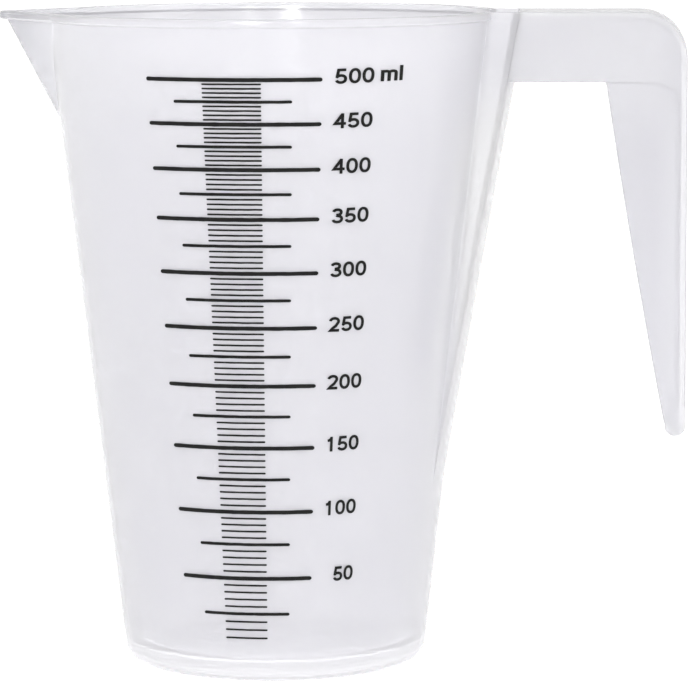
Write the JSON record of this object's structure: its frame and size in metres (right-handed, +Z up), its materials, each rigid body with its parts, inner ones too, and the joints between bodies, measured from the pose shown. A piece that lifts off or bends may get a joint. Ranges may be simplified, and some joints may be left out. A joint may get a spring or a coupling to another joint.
{
  "type": "measuring jug",
  "caption": "Translucent plastic measuring jug with a conical body, pulled V spout, open hook handle and a printed millilitre scale.",
  "frame": {"origin": "on the jug's axis, at the flat ring that it stands on", "axes": "+Z up along the jug's axis, +X to the handle, -X to the spout, -Y the side with the printed scale"},
  "size_m": [0.1406, 0.093, 0.1335],
  "materials": {
    "polypropylene": "frosted translucent natural polypropylene with a soft gloss",
    "handle_polypropylene": "frosted translucent natural polypropylene, thicker and a little greyer at the handle",
    "ink": "black screen-printed ink, satin"
  },
  "bodies": {
    "root": {"vessel": "polypropylene", "handle": "handle_polypropylene", "long_lines": "ink", "medium_lines": "ink", "short_lines": "ink"}
  },
  "joints": []
}
